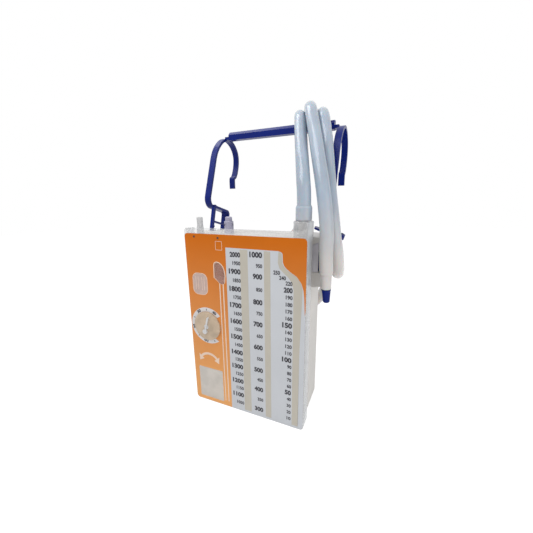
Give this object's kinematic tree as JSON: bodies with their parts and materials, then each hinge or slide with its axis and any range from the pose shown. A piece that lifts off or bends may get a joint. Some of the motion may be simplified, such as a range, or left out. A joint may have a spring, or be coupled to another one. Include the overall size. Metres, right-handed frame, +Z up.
{
  "type": "chest drain unit",
  "caption": "Dry-suction chest drain with a graduated clear-fronted tank, a regulator dial, a bed hanger with hooks and a crossbar, and a patient tube hung over it.",
  "frame": {"origin": "middle of the underside that the unit stands on, below the middle of the housing", "axes": "+Z up, the graduated front faces -Y, +X to the right of someone who faces the front"},
  "size_m": [0.217, 0.2261, 0.4321],
  "materials": {
    "tank_plastic": "translucent moulded white",
    "clear_plastic": "clear moulded",
    "label_film": "printed film",
    "plug_rubber": "satin",
    "tube_vinyl": "soft glossy vinyl",
    "blue_plastic": "satin moulded",
    "white_plastic": "satin moulded",
    "filter_white": "pressed fibre",
    "lilac_plastic": "satin moulded",
    "valve_rubber": "satin",
    "spring_steel": "drawn wire",
    "dial_plastic": "tinted clear moulding",
    "signal_red": "satin moulded"
  },
  "bodies": {
    "housing": {"rear_tank": "tank_plastic", "front_panel": "clear_plastic", "front_label": "label_film", "access_plugs": "plug_rubber", "inlet_socket": "clear_plastic", "inlet_barb": "clear_plastic", "inlet_duct": "clear_plastic", "tube_cuff": "tube_vinyl", "patient_tube": "tube_vinyl", "tube_connector": "clear_plastic", "connector_cap": "blue_plastic", "tube_clamp": "blue_plastic", "hanger": "blue_plastic", "suction_port": "white_plastic", "suction_filter": "filter_white", "relief_body": "lilac_plastic", "relief_seal": "valve_rubber", "relief_spring": "spring_steel", "regulator_body": "white_plastic", "regulator_diaphragm": "valve_rubber", "regulator_spring": "spring_steel", "bellows_bracket": "white_plastic", "suction_bellows": "valve_rubber", "float_channel": "clear_plastic", "one_way_valve": "valve_rubber"},
    "dial": {"dial_knob": "dial_plastic", "dial_shaft": "white_plastic", "orifice_disc": "white_plastic", "dial_pointer": "white_plastic"},
    "relief_button": {"relief_button": "lilac_plastic"},
    "leak_float": {"leak_float": "signal_red"},
    "bellows_indicator": {"bellows_indicator": "signal_red"}
  },
  "joints": [
    {"name": "dial_turn", "type": "hinge", "parent": "housing", "child": "dial", "pos_m": [-0.056, -0.047, 0.1258], "axis": [0, 1, 0], "range_deg": [-180, 120]},
    {"name": "relief_push", "type": "slide", "parent": "housing", "child": "relief_button", "axis": [0, 0, -1], "range_m": [0, 0.0025], "stiffness_N_per_m": 300, "springref_m": -0.002, "deforming": ["relief_spring"]},
    {"name": "float_rise", "type": "slide", "parent": "housing", "child": "leak_float", "axis": [0, 0, 1], "range_m": [0, 0.008]},
    {"name": "bellows_stretch", "type": "slide", "parent": "housing", "child": "bellows_indicator", "axis": [0, 0, -1], "range_m": [0, 0.005], "stiffness_N_per_m": 60, "springref_m": -0.001, "deforming": ["suction_bellows"]}
  ]
}
